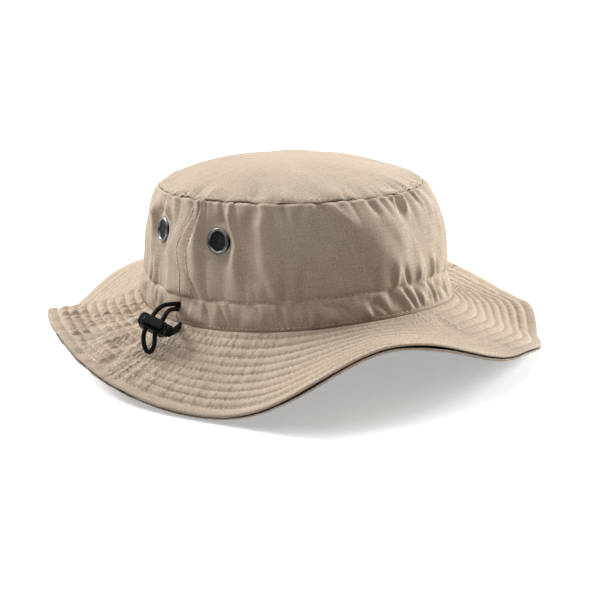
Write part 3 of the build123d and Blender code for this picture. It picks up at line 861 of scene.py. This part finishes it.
# softboxes: name, degrees round from the camera, degrees up, distance, size, power in watts
SOFTBOXES = [
    ("softbox_top", 190, 80, 1.5, 1.5, 12.0),
    ("softbox_front", -25, 68, 1.5, 1.0, 5.0),
    ("softbox_left", -118, 36, 1.4, 0.6, 18.0),
    ("softbox_right", 108, 17, 1.5, 0.6, 25.0),
]
for name, turn, rise, distance, size, power in SOFTBOXES:
    light = bpy.data.lights.new(name, "AREA")
    light.shape = "SQUARE"
    light.size = size
    light.energy = power
    light.color = LIGHT_COLOUR
    lamp = placed(name, light)
    lamp.location = view_direction(turn, rise) * distance
    lamp.rotation_mode = "QUATERNION"
    lamp.rotation_quaternion = lamp.location.to_track_quat("Z", "Y")

world = bpy.data.worlds.new("studio")
bpy.context.scene.world = world
world.use_nodes = True
AMBIENT = 0.03
sky = world.node_tree.nodes["Background"]
sky.inputs["Color"].default_value = (1, 1, 1, 1)
seen = world.node_tree.nodes.new("ShaderNodeLightPath")
brightness = world.node_tree.nodes.new("ShaderNodeMapRange")
brightness.inputs["To Min"].default_value = AMBIENT
brightness.inputs["To Max"].default_value = 1.0
world.node_tree.links.new(seen.outputs["Is Camera Ray"], brightness.inputs["Value"])
world.node_tree.links.new(brightness.outputs["Result"], sky.inputs["Strength"])

# ---- cords ----


def spline_points(name, points):
    """Points along the smooth NURBS line that a cord's route controls, in the hat's frame."""
    curve = bpy.data.curves.new(name, "CURVE")
    curve.dimensions = "3D"
    curve.resolution_u = 10
    spline = curve.splines.new("NURBS")
    spline.points.add(len(points) - 1)
    for target, point in zip(spline.points, points):
        target.co = (*point, 1)
    spline.order_u = 3
    spline.use_endpoint_u = True
    carrier = placed(name, curve)
    bpy.context.view_layer.update()
    line = bpy.data.meshes.new_from_object(carrier)
    found = np.array([vertex.co for vertex in line.vertices], float)
    bpy.data.objects.remove(carrier)
    bpy.data.meshes.remove(line)
    return found


def channel_end(heading, toward):
    """Two points inside the channel: where the strand begins, and a lead on towards the seam."""
    foot, up, outward = (axis[0] for axis in wall_axes(np.array([heading])))
    start = foot + outward * (CHANNEL_INSIDE - CHANNEL_DEPTH / 2) + up * CORD_HEIGHT
    return [start, start + np.cross(outward, up) * toward]


def lock_point(position, along):
    return in_lock((position, along, CORD_LINE))


def cord_piece(name, points):
    path = spline_points(name, points)
    shape, faces, places = tube(path, CORD / 2)
    piece = build(name, shape, faces, elastic, places)
    return piece, path


# each strand: heading it starts at, its lead, its route, its hole in the lock, its length in metres
strands = {
    "cord_strand_back": (SIDE_SEAM - CORD_ENDS, -CHANNEL_LEAD, BACK_STRAND, CORD_HOLES[0], 0.0375),
    "cord_strand_front": (SIDE_SEAM + CORD_ENDS, CHANNEL_LEAD, FRONT_STRAND, CORD_HOLES[1], 0.0355),
}
for name, (heading, lead, strand, hole, length) in strands.items():
    points = channel_end(heading, lead) + [np.array(point) for point in strand]
    points += [lock_point(hole, CORD_LEAD), lock_point(hole, 0)]
    piece, path = cord_piece("elastic_" + name[5:], points)
    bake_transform(piece)
    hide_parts(name)

loop_points = [lock_point(CORD_HOLES[0], 0), lock_point(CORD_HOLES[0], -CORD_LEAD)]
loop_points += [np.array(point) for point in LOOP]
loop_points += [lock_point(CORD_HOLES[1], -CORD_LEAD), lock_point(CORD_HOLES[1], 0)]
loop, loop_path = cord_piece("elastic_loop", loop_points)
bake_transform(loop)
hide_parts("cord_legs", "cord_loop_end")

# ---- crown ----

CLOTH = 0.6
# headings that each half of the side and of the brim runs between
HALVES = {"back": (LEFT_SEAM, SIDE_SEAM), "front": (ROUND_START, LEFT_SEAM)}
WALL_FOOT = 0.5             # the side starts this far up from the brim seam
WALL_COLUMNS = 340
WALL_ROWS = 86
HOLE_RADIUS = 6.2           # the grid is opened this far round an eyelet
HOLE_DRAWN = 11.0           # and drawn together as far out as this
HOLE_CORE = 0.55            # grid points nearer than this share of a hole's radius are dropped
EXIT_HALF = (1.7, 3.5)      # opening in the side seam where the cord comes out, half width and height
EXIT_HEIGHT = 9.6
EXIT_HEADING = 177.1


def opened(heading, height, centre, middle, half_width, half_height, drawn):
    """Draws a grid back from an oval hole; returns it with each point's distance in hole radii."""
    pitch = SEAM_PITCH if half_width < 5 else EYELET_PITCH
    across, along = away(heading, centre) * pitch, height - middle
    reach = np.hypot(across / half_width, along / half_height)
    moved = 1 + (drawn - 1) * np.clip((reach - HOLE_CORE) / (drawn - HOLE_CORE), 0, 1)
    stretch = np.where(reach < drawn, moved / np.maximum(reach, 1e-6), 1.0)
    return heading + across * (stretch - 1) / pitch, height + along * (stretch - 1), reach


for half, (start, end) in HALVES.items():
    heading, share = grid(np.linspace(start, end, WALL_COLUMNS), np.linspace(0, 1, WALL_ROWS))
    height = WALL_FOOT + share * (wall_height(heading) - WALL_FOOT)
    flat_map = np.stack([round_length(heading), height], -1).reshape(-1, 2)
    keep = np.ones(heading.shape, bool)
    for centre in EYELETS.values():
        heading, height, reach = opened(heading, height, centre, EYELET_HEIGHT, HOLE_RADIUS, HOLE_RADIUS,
                                        HOLE_DRAWN / HOLE_RADIUS)
        keep &= reach > HOLE_CORE
    heading, height, reach = opened(heading, height, EXIT_HEADING, EXIT_HEIGHT, *EXIT_HALF, 2.0)
    keep &= reach > HOLE_CORE
    points = wall(heading, height).reshape(-1, 3)
    faces = grid_faces(WALL_COLUMNS, WALL_ROWS)
    faces = faces[keep.ravel()[faces].any(axis=1)]
    points, faces, flat_map = used_only(points, faces, flat_map)
    points, faces = shell(points, faces, CLOTH)
    side = build(f"crown_side_{half}_cloth", points, faces, crown_cloth, np.tile(flat_map, (2, 1)))
    on_hat(side, f"crown_side_{half}")

TOP_GRID = 170
across, along = grid(np.linspace(-1, 1, TOP_GRID), np.linspace(-1, 1, TOP_GRID))
disc_x, disc_y = across * np.sqrt(1 - along**2 / 2), along * np.sqrt(1 - across**2 / 2)
reach = np.minimum(np.hypot(disc_x, disc_y), 1.0)
oval_turn = np.arctan2(disc_y, disc_x)
heading = np.degrees(np.arctan2(np.sin(oval_turn) / TOP_SEAM["half_length"],
                                np.cos(oval_turn) / TOP_SEAM["half_width"]))
rim = ring(heading, **TOP_SEAM)
inset = (1 - reach) * np.hypot(rim[..., 0], rim[..., 1])
points = dome(heading, inset).reshape(-1, 3)
faces = grid_faces(TOP_GRID, TOP_GRID)
shape, closed_faces = shell(points, faces, CLOTH)
top = build("crown_top_cloth", shape, closed_faces, crown_cloth, np.tile(points[:, :2], (2, 1)))
on_hat(top, "crown_top")

# ---- brim ----

BRIM_COLUMNS = {"brim_upper": 640, "brim_lower": 430}
BRIM_STEPS = 76
EDGE_ROUND = 1.2            # radius of the turned edge of each cloth
EDGE_TURN = 100.0           # degrees that it turns down through
EDGE_STEPS = 7
SEAM_MARGIN = 1.3
MIDDLE_GIRTH = 4 / 3        # the brim's cloth map is this much longer round than the brim seam

edge_turns = np.radians(np.linspace(0, EDGE_TURN, EDGE_STEPS + 1)[1:])
flat_run = np.linspace(-SEAM_MARGIN, BRIM_WIDTH - EDGE_ROUND, BRIM_STEPS)
run_along = np.concatenate([flat_run, BRIM_WIDTH - EDGE_ROUND + EDGE_ROUND * np.sin(edge_turns)])
run_depth = np.concatenate([np.zeros(BRIM_STEPS), EDGE_ROUND * (1 - np.cos(edge_turns))])
run_length = np.concatenate([flat_run, BRIM_WIDTH - EDGE_ROUND + EDGE_ROUND * edge_turns])

for layer, side in (("brim_upper", 1), ("brim_lower", -1)):
    for half, (start, end) in HALVES.items():
        columns = BRIM_COLUMNS[layer]
        headings = np.linspace(start, end, columns)
        heading, along = grid(headings, run_along)
        depth = np.tile(run_depth, (columns, 1))
        if side < 0:
            depth = BRIM_THICKNESS - depth
            along = along - 0.1 * ease(along, 54, 56)
        points = brim(heading, along, depth, side).reshape(-1, 3)
        faces = grid_faces(columns, len(run_along))
        if side > 0:
            faces = faces[:, ::-1]
        round_map = round_length(headings)[:, None] * MIDDLE_GIRTH
        flat_map = np.stack(np.broadcast_arrays(round_map, run_length[None, :]), -1)
        points, faces = shell(points, faces, CLOTH)
        cloth = build(f"{layer}_{half}_cloth", points, faces, brim_cloth,
                      np.tile(flat_map.reshape(-1, 2), (2, 1)))
        on_hat(cloth, f"{layer}_{half}")
        if side > 0:
            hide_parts(f"brim_interlining_{half}")

# ---- stitching ----

THREAD = 0.27               # thread radius
THREAD_SIDES = 5
SHOWN = 0.78                # share of each stitch that shows between two needle holes
SINK = 0.24                 # a stitch stands this far off the cloth in its middle


def stitches(lines):
    """Threads along (points, normals): each stitch rises out of one hole and dives into the next."""
    all_points, all_faces, all_places = [], [], []
    count = 0
    stations = np.array([0.0, 0.18, 0.5, 0.82, 1.0])
    heights = np.array([-1.2, 0.55, 1.0, 0.55, -1.2]) * SINK
    widths = np.array([0.55, 1.0, 1.05, 1.0, 0.55])
    turns = np.linspace(0, 2 * np.pi, THREAD_SIDES, endpoint=False)
    stitch_points = len(stations) * THREAD_SIDES
    for points, normals in lines:
        length = lengths_along(points)
        total = max(1, int(length[-1] / STITCH))
        pitch = length[-1] / total
        begin = np.arange(total) * pitch
        at = begin[:, None] + stations[None, :] * pitch * SHOWN
        centre = np.stack([np.interp(at, length, points[:, axis]) for axis in range(3)], -1)
        normal = unit(np.stack([np.interp(at, length, normals[:, axis]) for axis in range(3)], -1))
        along = unit(centre[:, -1:] - centre[:, :1]) * np.ones_like(centre)
        side = unit(np.cross(along, normal))
        centre = centre + normal * heights[None, :, None]
        flatwise = np.cos(turns)[None, None, :, None] * side[:, :, None, :]
        upright = np.sin(turns)[None, None, :, None] * normal[:, :, None, :]
        rounds = centre[:, :, None, :] + THREAD * widths[None, :, None, None] * (flatwise + upright)
        all_points.append(rounds.reshape(-1, 3))
        places = np.stack(np.broadcast_arrays(at[:, :, None], turns[None, None, :] * THREAD), -1)
        all_places.append(places.reshape(-1, 2))
        base = count + np.arange(total)[:, None] * stitch_points
        for station in range(len(stations) - 1):
            low = base + station * THREAD_SIDES
            high = low + THREAD_SIDES
            for turn in range(THREAD_SIDES):
                after = (turn + 1) % THREAD_SIDES
                all_faces.append(np.concatenate([low + turn, low + after, high + after, high + turn], 1))
        count += total * stitch_points
    return np.concatenate(all_points), np.concatenate(all_faces), np.concatenate(all_places)


def stitched(name, lines):
    points, faces, places = stitches(lines)
    piece = build(name, points, faces, thread, places)
    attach(piece, "hat")


def line_on(surface, heading, along, outward):
    """A stitch line on a surface of heading and distance, with the surface's normals."""
    heading, along = matched(heading, along)
    return surface(heading, along), normals_of(surface, heading, along) * outward


full_turn = np.linspace(ROUND_START + 0.3, SIDE_SEAM - 0.3, 1400)
crown_lines = [line_on(wall, full_turn, CHANNEL_LINE, -1), line_on(wall, full_turn, FOOT_LINE, -1)]
up_seam = np.linspace(CHANNEL_LINE + 1.5, 66.0, 160)
for centre in (SIDE_SEAM, LEFT_SEAM):
    for offset in (-0.55, 4.1):
        crown_lines.append(line_on(wall, centre + offset, up_seam, -1))
stitched("crown_side_stitching", crown_lines)
stitched("crown_top_stitching", [line_on(dome, full_turn, TOP_LINE, -1)])

for layer, side in (("brim_upper", 1), ("brim_lower", -1)):
    def face(heading, along, side=side):
        return brim(heading, along, 0 if side > 0 else BRIM_THICKNESS, side)

    lines = [line_on(face, full_turn, row, side) for row in BRIM_ROWS]
    out_seam = np.linspace(4.0, BRIM_WIDTH - 3.0, 150)
    if side > 0:
        lines.append(line_on(face, SIDE_SEAM + 2.2, out_seam, side))
        lines.append(line_on(face, LEFT_SEAM + 1.2, out_seam, side))
    stitched(f"{layer}_stitching", lines)

# ---- inside: sweatband, tapes and label ----


def lining_relief(heading, height):
    return 0.5 * folds(heading, height, 60, 30.0, 31) + 0.2 * folds(heading, height, 170, 12.0, 32)


PATCH_RADIUS = 90.0         # about the crown's radius, for the cloth maps of the short pieces


def inner_band(name, node, start, end, columns, low, high, rows, out, thickness, material,
               wavy=1.0):
    """A strip of cloth inside the crown's side, between two heights, out millimetres off its face."""
    headings = np.linspace(start, end, columns)
    heading, share = grid(headings, np.linspace(0, 1, rows))
    height = low(heading) + share * (high(heading) - low(heading))
    relief = out + wavy * lining_relief(heading, height) * np.sin(np.pi * share) ** 0.5
    points = wall(heading, height, relief, cloth=False).reshape(-1, 3)
    faces = grid_faces(columns, rows)[:, ::-1]
    lengths = np.radians(headings) * PATCH_RADIUS
    if start == ROUND_START:
        lengths = np.interp(headings, ROUND, LENGTH_ROUND)
    flat_map = np.stack(np.broadcast_arrays(lengths[:, None], height), -1).reshape(-1, 2)
    points, faces = shell(points, faces, thickness)
    piece = build(name, points, faces, material, np.tile(flat_map, (2, 1)))
    on_hat(piece, node)


def level(height):
    """The same height at every heading."""
    return lambda heading: height + 0 * heading


band_in = CHANNEL_INSIDE - CHANNEL_DEPTH
inner_band("sweatband_cloth", "sweatband", ROUND_START, SIDE_SEAM, 420, level(0.6),
           level(SWEATBAND_HEIGHT), 18, band_in - 0.3, 0.5, lining)
inner_band("crown_seam_tape", "crown_seam_binding", ROUND_START, SIDE_SEAM, 360,
           lambda heading: wall_height(heading) - 9.0, lambda heading: wall_height(heading) - 1.0, 8,
           -3.2, 0.4, tape, 0.3)
for side_name, centre in (("right", SIDE_SEAM), ("left", LEFT_SEAM)):
    inner_band(f"side_seam_tape_{side_name}", f"side_seam_binding_{side_name}", centre - 2.9, centre + 2.9,
               9, level(18.5), level(58.0), 50, -3.0, 0.4, tape, 0.2)
inner_band("care_label_satin", "care_label", 78, 102, 40, level(5.0), level(SWEATBAND_HEIGHT), 14,
           band_in - 1.3, 0.3, satin, 0.3)

# ---- eyelets ----

# radius and height round the eyelet's section
EYELET_OUTLINE = [(7.25, 0.02), (7.3, 0.35), (7.12, 0.7), (6.75, 0.98), (6.3, 1.06), (5.85, 0.92),
                  (5.5, 0.6), (5.35, 0.1), (5.4, -2.3), (5.6, -2.42), (6.0, -2.4), (6.1, -2.2), (6.1, 0.02)]
SCREEN_RADIUS = 5.38
WIRE = 0.2
WIRE_PITCH = 0.62
WIRE_STEP = 0.15
WIRES = np.arange(-8, 9) * WIRE_PITCH
SCREEN_DEPTH = 0.15

for place, heading in EYELETS.items():
    foot, up, outward = (axis[0] for axis in wall_axes(np.array([heading])))
    axes = np.array([np.cross(up, outward), up, outward])
    centre = foot + up * EYELET_HEIGHT
    shape, faces = lathe(centre, axes, EYELET_OUTLINE, 72)
    grommet = build(f"eyelet_ring_{place}", shape, faces, gunmetal)
    on_hat(grommet, f"eyelet_{place}")
    coat(f"eyelet_washer_{place}", gunmetal)

    # The screen is woven: wires one way pass over and under those the other way.
    wire_points, wire_faces = [], []
    count = 0
    for direction in (0, 1):
        for index, offset in enumerate(WIRES):
            end = math.sqrt(max(SCREEN_RADIUS**2 - offset**2, 0.01))
            along = np.linspace(-end, end, max(5, int(end / WIRE_STEP)))
            wave = WIRE * np.cos(np.pi * along / WIRE_PITCH) * (1 if (index + direction) % 2 else -1)
            path = np.zeros((len(along), 3))
            path[:, direction] = along
            path[:, 1 - direction] = offset
            path[:, 2] = wave - SCREEN_DEPTH
            shape, faces, _ = tube(path, WIRE, 4)
            wire_points.append(shape)
            wire_faces += [tuple(i + count for i in face) for face in faces]
            count += len(shape)
    woven_wires = centre + np.concatenate(wire_points) @ axes
    screen = build(f"eyelet_gauze_{place}", woven_wires, wire_faces, screen_metal)
    on_hat(screen, f"eyelet_screen_{place}")

# ---- cord lock and tether ----

coat("cord_lock_body", plastic)
coat("cord_lock_button", plastic)
coat("drawcord_run", elastic)

# The coil spring is pushed together between the housing's floor and the button.
SPRING_WIRE = 0.35
SPRING_RADIUS = 1.6
SPRING_TURNS = 3
SPRING_ENDS = (-4.975, -2.925)
SPRING_SHIFT = 0.6
coil = np.linspace(0, 1, 70)
coil_turn = 2 * np.pi * SPRING_TURNS * coil
coil_path = in_lock(np.stack([SPRING_SHIFT + SPRING_RADIUS * np.cos(coil_turn),
                              SPRING_RADIUS * np.sin(coil_turn),
                              SPRING_ENDS[0] + (SPRING_ENDS[1] - SPRING_ENDS[0]) * coil], -1))
shape, faces, places = tube(coil_path, SPRING_WIRE / 2, 8)
spring = build("spring_coil", shape, faces, steel)
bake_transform(spring)
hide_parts("cord_lock_spring")

STRAP_STATIONS = 34
STRAP_SIDES = 16
STRAP_STEP = 0.6            # a station's length on the cloth map
STRAP_SAG = 0.6
STRAP_HALF = 0.85           # half the strap's thickness at the lock
STRAP_SPREAD = 0.6          # and it is this much wider there than it is cut
STRAP_CLEAR = 1.1           # from the bar's middle to the strap's start
EYE_LENGTH = 1.2            # the eye's length on the cloth map, in one radian
EYE_STEPS = 28              # round the webbing's own eye, which runs round the bar
EYE_SECTION = ((0.72, -1), (1.5, -1), (1.5, 1), (0.72, 1))   # radius, and which edge of the webbing
strap_start = in_lock((BAR_MIDDLE + STRAP_CLEAR, 0, CORD_LINE))
share = np.linspace(0, 1, STRAP_STATIONS)
bend = ease(share, 0.0, 1.0)
sag = np.sin(np.pi * share) * STRAP_SAG
middle_line = (strap_start + (TETHER_ROOT - strap_start) * share[:, None]
               - np.array([0, 0, 1.0]) * sag[:, None])
wide_axis = unit(LOCK_AXES[1] * (1 - bend[:, None]) + np.array([0.0, 0.15, 1.0]) * bend[:, None])
run_axis = unit(np.gradient(middle_line, axis=0))
thick_axis = unit(np.cross(run_axis, wide_axis))
half_wide = (TETHER_WIDTH + STRAP_SPREAD) / 2 * (1 - bend) + TETHER_FOLD[0] / 2 * bend
half_thick = STRAP_HALF * (1 - bend) + TETHER_FOLD[1] / 2 * bend
corner = np.radians(np.linspace(0, 360, STRAP_SIDES, endpoint=False))
section_wide = np.sign(np.cos(corner)) * np.abs(np.cos(corner)) ** 0.45
section_thick = np.sign(np.sin(corner)) * np.abs(np.sin(corner)) ** 0.6
strap_points, strap_map = [], []
for index in range(STRAP_STATIONS):
    ripple = 1 + 0.05 * math.sin(index * 1.9)
    strap_points.append(middle_line[index]
                        + np.outer(section_wide * half_wide[index] * ripple, wide_axis[index])
                        + np.outer(section_thick * half_thick[index], thick_axis[index]))
    along = np.full(STRAP_SIDES, index * STRAP_STEP)
    strap_map.append(np.stack([section_wide * half_wide[index], along], -1))
strap_faces = tube_faces(STRAP_STATIONS, STRAP_SIDES)
loop_turns = np.linspace(0, 2 * np.pi, EYE_STEPS, endpoint=False)
ring_points, ring_faces, ring_map = [], [], []
base = STRAP_STATIONS * STRAP_SIDES
for index, turn in enumerate(loop_turns):
    for radius, across in EYE_SECTION:
        ring_points.append(in_lock((BAR_MIDDLE + radius * math.cos(turn), across * TETHER_WIDTH / 2,
                                    CORD_LINE + radius * math.sin(turn))))
        ring_map.append((across * TETHER_WIDTH / 2, turn * EYE_LENGTH))
    for edge in range(4):
        a, b = base + index * 4 + edge, base + index * 4 + (edge + 1) % 4
        step = base + ((index + 1) % EYE_STEPS) * 4
        ring_faces.append((a, b, step + (edge + 1) % 4, step + edge))
shape = np.concatenate([*strap_points, np.array(ring_points)])
places = np.concatenate([*strap_map, np.array(ring_map)])
strap = build("tether_webbing", shape, strap_faces + ring_faces, webbing, places)
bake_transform(strap)
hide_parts("tether")
